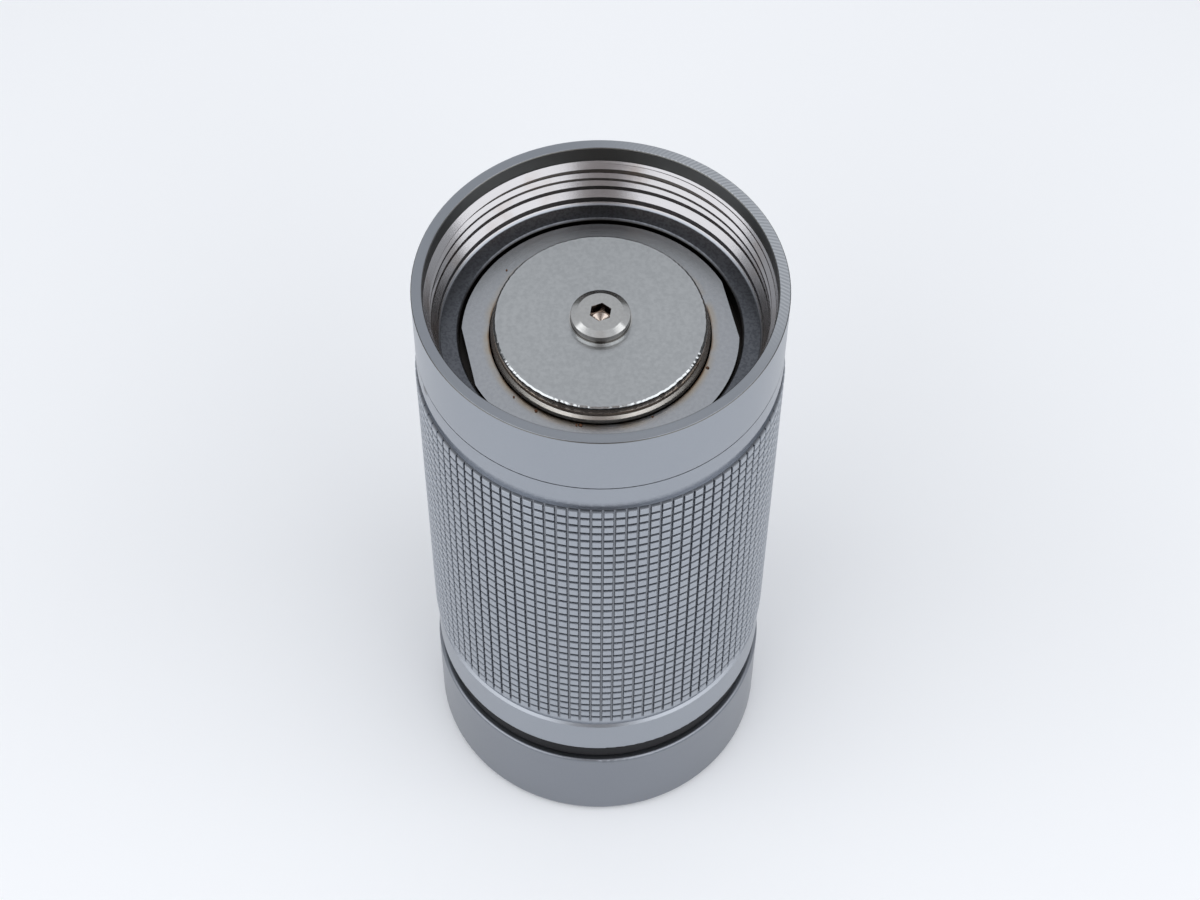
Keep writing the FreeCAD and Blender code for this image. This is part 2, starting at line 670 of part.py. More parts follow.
def adjusting_ring():
    """Ring that turns on the neck; its inside thread raises and lowers the lift bridge."""
    land = neck_radius + RUN_FIT
    land_foot = ring_top - RING_LAND
    solid = turned([
        (ring_counterbore, ring_foot),
        (foot_radius, ring_foot, RING_FOOT_ROUND),
        (foot_radius, ring_top, RING_TOP_ROUND),
        (land, ring_top),
        (land, land_foot),
        (adjust_root, land_foot),
        (adjust_root, ring_shoulder),
        (ring_counterbore, ring_shoulder),
    ])
    crest_half = (ADJUST_PITCH - ADJUST_MOUTH_WIDTH) / 2
    section = ridge_section(adjust_crest, adjust_root + RIDGE_BITE, crest_half, adjust_slope)
    first = ring_shoulder + ADJUST_PITCH / 2
    ridge = helical_band(section, ADJUST_PITCH, first, land_foot - ADJUST_PITCH / 2, ADJUST_START)
    return solid.fuse(ridge)


def mouth_ring():
    """Fixed rim of the bean mouth; its flange keeps the adjusting ring on the neck."""
    solid = turned([
        (mouth_radius + MOUTH_EDGE, 0),
        (mouth_flange_radius - MOUTH_EDGE, 0),
        (mouth_flange_radius, MOUTH_EDGE),
        (mouth_flange_radius, MOUTH_FLANGE),
        (mouth_spigot_radius, MOUTH_FLANGE),
        (mouth_spigot_radius, mouth_spigot_end),
        (mouth_radius, mouth_spigot_end),
        (mouth_radius, MOUTH_EDGE),
    ])
    head = disc(MOUTH_HEAD_RADIUS + MOUTH_SCREW_PLAY, 0, MOUTH_HEAD_SINK + MOUTH_HEAD_HEIGHT)
    hole = disc(MOUTH_SCREW_RADIUS + MOUTH_SCREW_PLAY, 0, MOUTH_FLANGE)
    return solid.cut(screw_places(head) + screw_places(hole))


def mouth_screws():
    """Slotted screws that hold the mouth ring to the neck."""
    seat = MOUTH_HEAD_SINK + MOUTH_HEAD_HEIGHT
    screw = disc(MOUTH_HEAD_RADIUS, MOUTH_HEAD_SINK, seat)
    screw = screw.fuse(disc(MOUTH_SCREW_RADIUS, seat, seat + MOUTH_SCREW_LENGTH))
    slot = Part.makeBox(2 * MOUTH_HEAD_RADIUS, DRIVER_SLOT_WIDTH, DRIVER_SLOT_DEPTH,
                        Vector(-MOUTH_HEAD_RADIUS, -DRIVER_SLOT_WIDTH / 2, MOUTH_HEAD_SINK))
    return Part.makeCompound(screw_places(screw.cut(slot)))


def glide_ring():
    """Black plastic ring between body and adjusting ring."""
    inner = neck_radius + SEAT_FIT
    outer = BODY_RADIUS - GLIDE_RECESS
    foot = ring_top + AXIAL_PLAY
    return turned([
        (inner, foot),
        (outer - GLIDE_EDGE, foot),
        (outer, foot + GLIDE_EDGE),
        (outer, body_foot - GLIDE_EDGE),
        (outer - GLIDE_EDGE, body_foot),
        (inner, body_foot),
    ])


def shaft_clip():
    """Open clip in the shaft's groove, below the upper bearing's inner race."""
    foot = upper_bearing - SHAFT_CLIP_HEIGHT
    inner = shaft_radius - SHAFT_CLIP_GROOVE + SEAT_FIT
    ring = collar(inner, SHAFT_CLIP_RADIUS, foot, upper_bearing)
    return ring.cut(spokes(1, ARM_ANGLE, 0, SHAFT_CLIP_RADIUS, SHAFT_CLIP_OPENING, foot, upper_bearing))


def spring_washer():
    """Thrust washer between the spring and the lower bearing's inner race."""
    return collar(BEARING_BORE, THRUST_RADIUS, lower_bearing + BEARING_WIDTH, spring_foot)


def arc_edge(start, corner, end):
    """Arc from start to end, tangent to the lines from both to their common corner."""
    middle = (start + end) / 2
    chord = (end - start).Length
    tangent = (corner - start).getAngle(end - start)
    sag = chord / 2 * math.tan(tangent / 2)
    return Part.Arc(start, middle + (corner - middle).normalize() * sag, end).toShape()


def preload_spring():
    """Coil spring round the shaft, one unbroken wire on pairs of arcs, a quarter turn each."""
    radius = shaft_radius + SPRING_SIDE_PLAY + WIRE_RADIUS
    foot = spring_foot + WIRE_RADIUS + SPRING_END_PLAY
    rise = shaft_collar - WIRE_RADIUS - SPRING_END_PLAY - foot
    turns = max(1, math.floor(rise / SPRING_PITCH))
    climb = rise / turns / (2 * math.pi)
    points = []
    tangents = []
    for i in range(4 * turns + 1):
        angle = i * math.pi / 2
        points.append(Vector(radius * math.cos(angle), radius * math.sin(angle), foot + climb * angle))
        tangents.append(Vector(-radius * math.sin(angle), radius * math.cos(angle), climb).normalize())
    edges = []
    for i in range(4 * turns):
        step = points[i + 1] - points[i]
        both = tangents[i] + tangents[i + 1]
        spread = 2 * (1 - tangents[i].dot(tangents[i + 1]))
        along = step.dot(both)
        reach = (math.sqrt(along * along + spread * step.dot(step)) - along) / spread
        first = points[i] + tangents[i] * reach
        second = points[i + 1] - tangents[i + 1] * reach
        joint = (first + second) / 2
        edges.append(arc_edge(points[i], first, joint))
        edges.append(arc_edge(joint, second, points[i + 1]))
    line = []
    for edge in edges:
        line.extend(edge.discretize(9)[:-1])
    gap = rise
    for i in range(len(line)):
        for j in range(i + 32, len(line)):
            gap = min(gap, line[i].distanceToPoint(line[j]) - 2 * WIRE_RADIUS)
    print("preload spring: least gap to itself", round(gap, 2), "mm in", turns, "turns")
    sweep = Part.BRepOffsetAPI.MakePipeShell(Part.Wire(edges))
    sweep.add(Part.Wire([Part.makeCircle(WIRE_RADIUS, points[0], tangents[0])]))
    sweep.build()
    sweep.makeSolid()
    return sweep.shape()


os.makedirs("parts", exist_ok=True)

body_tube().exportStep("parts/body_tube.step")
cup_collar().exportStep("parts/cup_collar.step")
outer_burr().exportStep("parts/outer_burr.step")
glide_ring().exportStep("parts/glide_ring.step")
mouth_ring().exportStep("parts/mouth_ring.step")
mouth_screws().exportStep("parts/mouth_screws.step")
adjusting_ring().exportStep("parts/adjusting_ring.step")

lower_outer, lower_inner, lower_balls, lower_cage = bearing(lower_bearing)
lower_bridge().exportStep("parts/lower_bridge.step")
lower_outer.exportStep("parts/lower_bearing_outer_race.step")
lower_inner.exportStep("parts/lower_bearing_inner_race.step")
lower_balls.exportStep("parts/lower_bearing_balls.step")
lower_cage.exportStep("parts/lower_bearing_cage.step")
inside_clip(lower_bearing + BEARING_WIDTH).exportStep("parts/lower_bearing_clip.step")
spring_washer().exportStep("parts/spring_washer.step")
preload_spring().exportStep("parts/preload_spring.step")

upper_outer, upper_inner, upper_balls, upper_cage = bearing(upper_bearing)
lift_bridge().exportStep("parts/lift_bridge.step")
upper_outer.exportStep("parts/upper_bearing_outer_race.step")
upper_inner.exportStep("parts/upper_bearing_inner_race.step")
upper_balls.exportStep("parts/upper_bearing_balls.step")
upper_cage.exportStep("parts/upper_bearing_cage.step")
inside_clip(upper_bearing - CLIP_THICKNESS).exportStep("parts/upper_bearing_clip.step")

drive_shaft().exportStep("parts/drive_shaft.step")
shaft_clip().exportStep("parts/shaft_clip.step")
inner_burr().exportStep("parts/inner_burr.step")
burr_cap().exportStep("parts/burr_cap.step")
screw_washer().exportStep("parts/screw_washer.step")
burr_screw().exportStep("parts/burr_screw.step")
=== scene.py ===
import math
import random

import bmesh
import bpy
from mathutils import Matrix, Vector


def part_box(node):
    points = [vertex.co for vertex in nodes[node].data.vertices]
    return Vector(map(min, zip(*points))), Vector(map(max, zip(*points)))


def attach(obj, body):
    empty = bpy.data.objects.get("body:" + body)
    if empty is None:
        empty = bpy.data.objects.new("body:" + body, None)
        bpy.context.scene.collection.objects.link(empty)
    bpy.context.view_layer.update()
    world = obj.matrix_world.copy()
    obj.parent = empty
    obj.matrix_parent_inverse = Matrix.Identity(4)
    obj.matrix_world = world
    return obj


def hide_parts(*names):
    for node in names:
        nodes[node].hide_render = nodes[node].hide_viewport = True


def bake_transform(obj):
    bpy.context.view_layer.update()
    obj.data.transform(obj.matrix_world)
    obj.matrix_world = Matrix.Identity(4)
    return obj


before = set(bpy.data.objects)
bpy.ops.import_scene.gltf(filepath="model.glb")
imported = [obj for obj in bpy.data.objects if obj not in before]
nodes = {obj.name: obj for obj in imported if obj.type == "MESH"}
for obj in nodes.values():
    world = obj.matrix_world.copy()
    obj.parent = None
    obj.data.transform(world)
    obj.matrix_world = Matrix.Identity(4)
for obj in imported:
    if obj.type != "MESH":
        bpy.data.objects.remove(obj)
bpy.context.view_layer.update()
MM = 0.001

# Grip tube: one turned aluminium tube with smooth bands, relief grooves and a slotted neck.
# It is bead blasted and anodised grey, so it has a fine even grain and a soft metallic sheen.
# Use has left a small dark nick below its upper edge, at the front left.
ANODISED_TONE = (0.37, 0.393, 0.432)
ANODISED_DEEP = (0.31, 0.333, 0.37)
ANODISED_ROUGHNESS = 0.31
ANODISED_SPREAD = 0.12
GRAIN_PER_METRE = 5200.0
GRAIN_DEPTH = 0.009 * MM
GRAIN_SHARE = 0.6
CLOUDS_PER_METRE = 70.0
CLOUD_DETAIL = 4.0
CLOUD_SHARE = 0.5
FINE_DETAIL = 3.0
NICK_PLACE = (-26.02 * MM, -10.33 * MM, 104.7 * MM)
NICK_REACH = 1.2 * MM
NICK_TONE = (0.09, 0.095, 0.11)
SPOT_CORE = 0.4


def start_group(name, inputs, outputs):
    """Empty shader group; inputs are (name, default value), outputs are names of values."""
    tree = bpy.data.node_groups.new(name, "ShaderNodeTree")
    for label, value in inputs:
        socket = tree.interface.new_socket(label, in_out="INPUT", socket_type="NodeSocketFloat")
        socket.default_value = value
    for label in outputs:
        tree.interface.new_socket(label, in_out="OUTPUT", socket_type="NodeSocketFloat")
    return tree, tree.nodes.new("NodeGroupInput").outputs, tree.nodes.new("NodeGroupOutput").inputs


def feed(tree, socket, source):
    """Links an output to a socket, or sets a plain value there."""
    if isinstance(source, bpy.types.NodeSocket):
        tree.links.new(source, socket)
    else:
        socket.default_value = source


def calc(tree, operation, *values):
    """Math on outputs or plain numbers."""
    node = tree.nodes.new("ShaderNodeMath")
    node.operation = operation
    for socket, value in zip(node.inputs, values):
        feed(tree, socket, value)
    return node.outputs[0]


def ease(tree, value, start, end):
    """Goes smoothly from 0 where the value is at start to 1 where it is at end."""
    node = tree.nodes.new("ShaderNodeMapRange")
    node.interpolation_type = "SMOOTHSTEP"
    for label, source in (("Value", value), ("From Min", start), ("From Max", end)):
        feed(tree, node.inputs[label], source)
    return node.outputs["Result"]


def noise(tree, vector, scale, detail=FINE_DETAIL):
    """Soft random pattern, about 0 to 1, on a place or along a single value."""
    node = tree.nodes.new("ShaderNodeTexNoise")
    if vector.type == "VALUE":
        node.noise_dimensions = "1D"
        tree.links.new(vector, node.inputs["W"])
    else:
        tree.links.new(vector, node.inputs["Vector"])
    feed(tree, node.inputs["Scale"], scale)
    node.inputs["Detail"].default_value = detail
    return node.outputs[0]


def object_place(tree):
    """The point of the surface, in the object's own frame."""
    return tree.nodes.new("ShaderNodeTexCoord").outputs["Object"]


def tint(tree, factor, first, second):
    """Colour that goes from first to second with the factor."""
    node = tree.nodes.new("ShaderNodeMix")
    node.data_type = "RGBA"
    colours = [socket for socket in node.inputs if socket.type == "RGBA"]
    feed(tree, node.inputs[0], factor)
    for socket, source in zip(colours, (first, second)):
        feed(tree, socket, source if isinstance(source, bpy.types.NodeSocket) else (*source, 1.0))
    return [socket for socket in node.outputs if socket.type == "RGBA"][0]


def placed(tree, group, **values):
    """The group in a material, with its own values."""
    node = tree.nodes.new("ShaderNodeGroup")
    node.node_tree = group
    for label, value in values.items():
        feed(tree, node.inputs[label], value)
    return node.outputs


def start_finish(name, roughness, metallic=1.0):
    """Material with its shader, ready for the nodes that give it detail."""
    material = bpy.data.materials.new(name)
    material.use_nodes = True
    shader = material.node_tree.nodes["Principled BSDF"].inputs
    shader["Metallic"].default_value = metallic
    shader["Roughness"].default_value = roughness
    return material, material.node_tree, shader


def raise_surface(tree, shader, height, distance):
    """Fine relief on top of what is there: the height, from 0 to 1, stands this far out."""
    bump = tree.nodes.new("ShaderNodeBump")
    bump.inputs["Distance"].default_value = distance
    tree.links.new(height, bump.inputs["Height"])
    if shader["Normal"].is_linked:
        tree.links.new(shader["Normal"].links[0].from_socket, bump.inputs["Normal"])
    tree.links.new(bump.outputs["Normal"], shader["Normal"])


def dress(material, *names):
    """Gives CAD nodes their finish."""
    for name in names:
        for slot in nodes[name].material_slots:
            slot.material = material


def near(tree, spot, reach):
    """Mask that holds close to the spot and is gone at its reach."""
    away = tree.nodes.new("ShaderNodeVectorMath")
    away.operation = "DISTANCE"
    tree.links.new(object_place(tree), away.inputs[0])
    away.inputs[1].default_value = spot
    return ease(tree, away.outputs["Value"], reach, SPOT_CORE * reach)


def blast_grain_group():
    """Fine blasted grain, with slow clouds in how evenly the surface took the blasting."""
    tree, given, result = start_group("blast_grain", [("Grain", GRAIN_PER_METRE)], ["Height", "Cloud"])
    place = object_place(tree)
    fine = noise(tree, place, given["Grain"])
    slow = noise(tree, place, CLOUDS_PER_METRE, CLOUD_DETAIL)
    tree.links.new(fine, result["Height"])
    tree.links.new(slow, result["Cloud"])
    return tree


blast_grain = blast_grain_group()


def anodised_finish(name, tone=ANODISED_TONE, deep=ANODISED_DEEP):
    """Grey anodised aluminium with its blasted grain; gives what a piece may add to."""
    material, tree, shader = start_finish(name, ANODISED_ROUGHNESS)
    grain = placed(tree, blast_grain)
    mottle = calc(tree, "ADD", calc(tree, "MULTIPLY", grain["Height"], GRAIN_SHARE),
                  calc(tree, "MULTIPLY", grain["Cloud"], CLOUD_SHARE))
    colour = tint(tree, mottle, deep, tone)
    tree.links.new(colour, shader["Base Color"])
    smoothest = ANODISED_ROUGHNESS - ANODISED_SPREAD / 2
    rough = calc(tree, "MULTIPLY_ADD", grain["Cloud"], ANODISED_SPREAD, smoothest)
    tree.links.new(rough, shader["Roughness"])
    raise_surface(tree, shader, grain["Height"], GRAIN_DEPTH)
    return material, tree, shader, colour, rough


anodised, tree, shader, colour, _ = anodised_finish("anodised_grey")
nick = near(tree, NICK_PLACE, NICK_REACH)
tree.links.new(tint(tree, nick, colour, NICK_TONE), shader["Base Color"])
dress(anodised, "body_tube")

# Grip: a square knurl cut into the tube, rows of small flat pads between steep narrow grooves.
# It is the tube's own metal, with a painted highlight that makes the pads lighter and painted shade that
# darkens the grooves, and rides with the tube.
GRIP_COLUMNS = 100
GRIP_ROWS = 32
GRIP_TURN = math.radians(1.2)
GRIP_FOOT = 33.25 * MM
GRIP_TOP = 99.3 * MM
GRIP_FLOOR = 27.88 * MM
GRIP_BACK = 27.6 * MM
GRIP_SMOOTH = 12
GRIP_SEED = 2
GROOVE_HALF = 0.12 * MM
PAD_SHORTER = 0.866
PAD_STEPS = ((0.09 * MM, 0.34 * MM), (0.06 * MM, 0.05 * MM), (0.2 * MM, 0.02 * MM))
PAD_UNEVEN = 0.008 * MM
GROOVE_SHADE_TONE = (0.19, 0.201, 0.222)
GROOVE_RADIUS = 28.0 * MM
PAD_RADIUS = 28.2 * MM
PAD_HIGHLIGHT_TONE = (0.42, 0.445, 0.485)
PAD_HIGHLIGHT_DEEP = (0.335, 0.36, 0.40)


def axis_group():
    """Distance from the shaft's axis, angle round it in turns, and height."""
    tree, _, result = start_group("round_the_axis", [], ["Radius", "Turn", "Height"])
    parts = tree.nodes.new("ShaderNodeSeparateXYZ")
    tree.links.new(object_place(tree), parts.inputs[0])
    x, y, z = parts.outputs
    squares = calc(tree, "ADD", calc(tree, "MULTIPLY", x, x), calc(tree, "MULTIPLY", y, y))
    tree.links.new(calc(tree, "SQRT", squares), result["Radius"])
    tree.links.new(calc(tree, "DIVIDE", calc(tree, "ARCTAN2", y, x), 2 * math.pi), result["Turn"])
    tree.links.new(z, result["Height"])
    return tree


def object_from(name, shape, smooth_angle=None):
    """Object at the origin from a finished bmesh, shaded softly across edges below the angle in degrees."""
    mesh = bpy.data.meshes.new(name)
    shape.to_mesh(mesh)
    shape.free()
    if smooth_angle:
        mesh.shade_smooth()
        mesh.set_sharp_from_angle(angle=math.radians(smooth_angle))
    piece = bpy.data.objects.new(name, mesh)
    bpy.context.scene.collection.objects.link(piece)
    return piece


def ring_up(shape, edges, radius_factor, rise):
    """Extrudes a closed ring of edges, scales it about the axis and lifts it; gives the new ring."""
    made = bmesh.ops.extrude_edge_only(shape, edges=edges)["geom"]
    points = [item for item in made if isinstance(item, bmesh.types.BMVert)]
    bmesh.ops.scale(shape, verts=points, vec=(radius_factor, radius_factor, 1))
    bmesh.ops.translate(shape, verts=points, vec=(0, 0, rise))
    return [item for item in made if isinstance(item, bmesh.types.BMEdge) and item.is_boundary]


def turn_of(face):
    """Angle of a pad's middle round the axis."""
    middle = face.calc_center_median()
    return math.atan2(middle.y, middle.x)


def sorted_corners(face):
    """A pad's four corners from below to above and from right to left, the same in every run."""
    middle = face.calc_center_median()
    return sorted(face.verts, key=lambda point: (point.co.z > middle.z, middle.xy.cross(point.co.xy) > 0))


def knurled_grip():
    """Closed sleeve whose outside is a grid of pads."""
    shape = bmesh.new()
    foot = Matrix.Translation((0, 0, GRIP_FOOT)) @ Matrix.Rotation(GRIP_TURN, 4, "Z")
    bmesh.ops.create_circle(shape, cap_ends=False, segments=GRIP_COLUMNS, radius=GRIP_FLOOR, matrix=foot)
    foot_edges = shape.edges[:]
    row_height = (GRIP_TOP - GRIP_FOOT) / GRIP_ROWS
    edges = foot_edges
    rows = []
    for _ in range(GRIP_ROWS):
        before = set(shape.faces)
        edges = ring_up(shape, edges, radius_factor=1.0, rise=row_height)
        rows.append([face for face in shape.faces if face not in before])
    inwards = GRIP_BACK / GRIP_FLOOR
    top_back = ring_up(shape, edges, radius_factor=inwards, rise=0.0)
    foot_back = ring_up(shape, foot_edges, radius_factor=inwards, rise=0.0)
    bmesh.ops.bridge_loops(shape, edges=top_back + foot_back)
    bmesh.ops.recalc_face_normals(shape, faces=shape.faces)
    chance = random.Random(GRIP_SEED)
    for row, faces in enumerate(rows):
        bmesh.ops.inset_individual(shape, faces=faces, thickness=GROOVE_HALF, depth=0.0,
                                   use_even_offset=True)
        middle = GRIP_FOOT + (row + 0.5) * row_height
        feet = list({point for face in faces for point in face.verts})
        bmesh.ops.scale(shape, verts=feet, vec=(1, 1, PAD_SHORTER),
                        space=Matrix.Translation((0, 0, -middle)))
        for width, height in PAD_STEPS:
            bmesh.ops.inset_individual(shape, faces=faces, thickness=width, depth=height,
                                       use_even_offset=True)
        for face in sorted(faces, key=turn_of):
            for point in sorted_corners(face):
                point.co.xy *= 1 + chance.uniform(-PAD_UNEVEN, PAD_UNEVEN) / GRIP_FLOOR
    return object_from("grip_knurl", shape, GRIP_SMOOTH)


round_the_axis = axis_group()
grip_finish, tree, shader, colour, _ = anodised_finish("anodised_grey_grip", PAD_HIGHLIGHT_TONE, PAD_HIGHLIGHT_DEEP)
where = placed(tree, round_the_axis)
# Painted shade darkens the grooves; the pads keep their lighter painted highlight.
raised = ease(tree, where["Radius"], GROOVE_RADIUS, PAD_RADIUS)
tree.links.new(tint(tree, raised, GROOVE_SHADE_TONE, colour), shader["Base Color"])
grip = knurled_grip()
grip.data.materials.append(grip_finish)
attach(grip, "housing")

# Cup collar: turned aluminium, screwed into the tube, with the cup thread, a ledge and the burr seat.
# The thread is cut bright after blasting, and the rim keeps lathe rings and slanting chatter marks.
# Painted shade darkens the pilot wall, the rim's edge breaks, the thread's upright lands, the ledge and the
# burr seat, and a painted sheen lightens the rim on the right.
_, collar_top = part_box("cup_collar")
RIM_DEPTH = 0.03 * MM
RIM_FLAT = 0.3 * RIM_DEPTH
RIM_BREAK = 0.15 * MM
RIM_BREAK_FADE = 1.5 * RIM_BREAK
LEDGE_HEIGHT = 106.0 * MM
LEDGE_SKIN = 0.02 * MM
SEAT_EDGE = 105.65 * MM
THREAD_FOOT = 106.15 * MM
THREAD_TOP = 114.1 * MM
INSIDE_RADIUS = 26.25 * MM
PILOT_RADII = (INSIDE_RADIUS + 0.6 * MM, INSIDE_RADIUS + 0.4 * MM)
SOFT_EDGE = 0.1 * MM
PILOT_SHADE_TONE = (0.13, 0.13, 0.125)
SEAT_SHADE_TONE = (0.03, 0.028, 0.026)
MACHINED_TONE = (0.41, 0.405, 0.42)
MACHINED_SMOOTHER = 0.09
THREAD_LAND_SHADE_TONE = (0.17, 0.15, 0.135)
THREAD_LAND_LOOKS = (0.35, 0.12)
RIM_RINGS = 5600.0
RIM_RING_DEPTH = 0.03 * MM
RING_DETAIL = 1.0
BANDS_PER_RING = 0.12
BAND_DETAIL = 2.0
CHATTER_MARKS = 250.0
CHATTER_SLANT = 900.0
CHATTER_DEPTH = 0.03 * MM
CHATTER_PLACE = (24.0 * MM, 13.0 * MM, 117.0 * MM)
CHATTER_REACH = 34.0 * MM
CHATTER_SHEEN_TONE = (0.50, 0.525, 0.56)
LEDGE_SHADE_TONE = (0.15, 0.16, 0.18)
SPECKLE_TONE = (0.11, 0.118, 0.135)
SPECKLES_PER_METRE = 2600.0
SPECKLE_DETAIL = 2.0
SPECKLE_LIMITS = (0.42, 0.62)
STAIN_TONE = (0.22, 0.145, 0.095)
STAINS_PER_METRE = 140.0
STAIN_LIMITS = (0.5, 0.75)
STAIN_SHARE = 0.35


def turning_marks_group():
    """Fine lines left by a lathe tool, along a radius or a height, with a slow drift in their depth."""
    tree, given, result = start_group("turning_marks", [("Along", 0.0), ("Lines", RIM_RINGS)],
                                      ["Height", "Band"])
    fine = noise(tree, given["Along"], given["Lines"], RING_DETAIL)
    bands = calc(tree, "MULTIPLY", given["Lines"], BANDS_PER_RING)
    slow = noise(tree, given["Along"], bands, BAND_DETAIL)
    tree.links.new(fine, result["Height"])
    tree.links.new(slow, result["Band"])
    return tree


def both(tree, first, second):
    """Mask where both masks hold."""
    return calc(tree, "MULTIPLY", first, second)


def looks_level(tree):
    """How much a face looks up or down: 0 on an upright wall, 1 on a flat one."""
    looks = tree.nodes.new("ShaderNodeSeparateXYZ")
    tree.links.new(tree.nodes.new("ShaderNodeTexCoord").outputs["Normal"], looks.inputs[0])
    return calc(tree, "ABSOLUTE", looks.outputs["Z"])


turning_marks = turning_marks_group()
collar_finish, tree, shader, colour, rough = anodised_finish("anodised_grey_collar")
where = placed(tree, round_the_axis)
place = object_place(tree)
inside = ease(tree, where["Radius"], INSIDE_RADIUS + SOFT_EDGE, INSIDE_RADIUS)
above_foot = ease(tree, where["Height"], THREAD_FOOT, THREAD_FOOT + 2 * SOFT_EDGE)
below_top = ease(tree, where["Height"], THREAD_TOP + SOFT_EDGE, THREAD_TOP)
machined = both(tree, inside, both(tree, above_foot, below_top))
colour = tint(tree, machined, colour, MACHINED_TONE)
# Painted shade darkens the thread's upright lands.
thread_land_shade = both(tree, machined, ease(tree, looks_level(tree), *THREAD_LAND_LOOKS))
colour = tint(tree, thread_land_shade, colour, THREAD_LAND_SHADE_TONE)
patches = ease(tree, noise(tree, place, STAINS_PER_METRE), *STAIN_LIMITS)
colour = tint(tree, both(tree, both(tree, machined, patches), STAIN_SHARE), colour, STAIN_TONE)
# Painted shade darkens the ledge; the speckle over it is its blasted texture.
ledge = both(tree, inside, ease(tree, where["Height"], LEDGE_HEIGHT + SOFT_EDGE, LEDGE_HEIGHT + LEDGE_SKIN))
speckle = ease(tree, noise(tree, place, SPECKLES_PER_METRE, SPECKLE_DETAIL), *SPECKLE_LIMITS)
colour = tint(tree, ledge, colour, tint(tree, speckle, LEDGE_SHADE_TONE, SPECKLE_TONE))
# Painted shade darkens the burr seat below the ledge.
seat = both(tree, inside, ease(tree, where["Height"], LEDGE_HEIGHT, SEAT_EDGE))
colour = tint(tree, seat, colour, SEAT_SHADE_TONE)
below_rim = ease(tree, where["Height"], collar_top.z - RIM_DEPTH, collar_top.z - 2 * RIM_DEPTH)
above_thread = ease(tree, where["Height"], THREAD_TOP, THREAD_TOP + SOFT_EDGE)
# Painted shade darkens the pilot wall under the rim and the rim's edge breaks.
pilot = both(tree, below_rim, both(tree, above_thread, ease(tree, where["Radius"], *PILOT_RADII)))
edge_break = ease(tree, where["Height"], collar_top.z - RIM_BREAK_FADE, collar_top.z - RIM_BREAK)
edge_break_shade = both(tree, below_rim, edge_break)
colour = tint(tree, calc(tree, "MAXIMUM", pilot, edge_break_shade), colour, PILOT_SHADE_TONE)
rim = ease(tree, where["Height"], collar_top.z - RIM_DEPTH, collar_top.z - RIM_FLAT)
# The chatter marks are relief; the lighter colour on the rim's right side is a painted sheen.
chatter_and_sheen = both(tree, rim, near(tree, CHATTER_PLACE, CHATTER_REACH))
tree.links.new(tint(tree, chatter_and_sheen, colour, CHATTER_SHEEN_TONE), shader["Base Color"])
tree.links.new(calc(tree, "MULTIPLY_ADD", machined, -MACHINED_SMOOTHER, rough), shader["Roughness"])
rings = placed(tree, turning_marks, Along=where["Radius"], Lines=RIM_RINGS)
raise_surface(tree, shader, both(tree, rim, rings["Height"]), RIM_RING_DEPTH)
slant = calc(tree, "ADD", calc(tree, "MULTIPLY", where["Turn"], CHATTER_MARKS),
             calc(tree, "MULTIPLY", where["Radius"], CHATTER_SLANT))
chatter = calc(tree, "SINE", calc(tree, "MULTIPLY", slant, 2 * math.pi))
raise_surface(tree, shader, both(tree, chatter_and_sheen, chatter), CHATTER_DEPTH)
dress(collar_finish, "cup_collar")

# Adjusting ring: turned aluminium ring at the foot, plain all round, which turns on the tube's neck.
# It is blasted and anodised like the tube, and painted shade makes it darker than the tube.
RING_SHADE_TONE = (0.265, 0.28, 0.31)
RING_SHADE_DEEP = (0.215, 0.23, 0.26)

ring_shaded_finish, *_ = anodised_finish("anodised_grey_ring_shaded", RING_SHADE_TONE, RING_SHADE_DEEP)
dress(ring_shaded_finish, "adjusting_ring")

# Glide ring: black moulded plastic that fills the gap between tube and adjusting ring.
# It sits round the neck and stays with the tube, and its skin is dull.
GLIDE_TONE = (0.012, 0.012, 0.013)
GLIDE_SHEEN = (0.02, 0.02, 0.022)
GLIDE_ROUGHNESS = 0.55
GLIDE_GLOSS = 0.12
GLIDE_GRAIN = 2500.0
GLIDE_GRAIN_DEPTH = 0.004 * MM

glide_finish, tree, shader = start_finish("black_glide", GLIDE_ROUGHNESS, metallic=0.0)
grain = placed(tree, blast_grain, Grain=GLIDE_GRAIN)
tree.links.new(tint(tree, grain["Cloud"], GLIDE_TONE, GLIDE_SHEEN), shader["Base Color"])
raise_surface(tree, shader, grain["Height"], GLIDE_GRAIN_DEPTH)
shader["Specular IOR Level"].default_value = GLIDE_GLOSS
dress(glide_finish, "glide_ring")

# Burr ring: hardened stainless ring, ground flat on its face, with two flats for a spanner.
# Coffee has browned the edge of its bore.
GROUND_TONE = (0.50, 0.52, 0.55)
GROUND_DEEP = (0.42, 0.44, 0.47)
GROUND_ROUGHNESS = 0.26
GRIND_LINES = 5200.0
GRIND_DEPTH = 0.002 * MM
MOTTLES_PER_METRE = 1700.0
MOTTLE_LIMITS = (0.3, 0.7)
MOTTLE_SHARE = 0.5
BAND_SHARE = 0.5
BAND_SPREAD = 0.1
BROWNED_RADIUS = 18.2 * MM
BORE_RADIUS = 16.9 * MM
BORE_LIP = 0.25 * MM
BROWNED_TONE = (0.49, 0.43, 0.35)
BLOTCHES_PER_METRE = 180.0
BLOTCH_LIMITS = (0.3, 0.65)


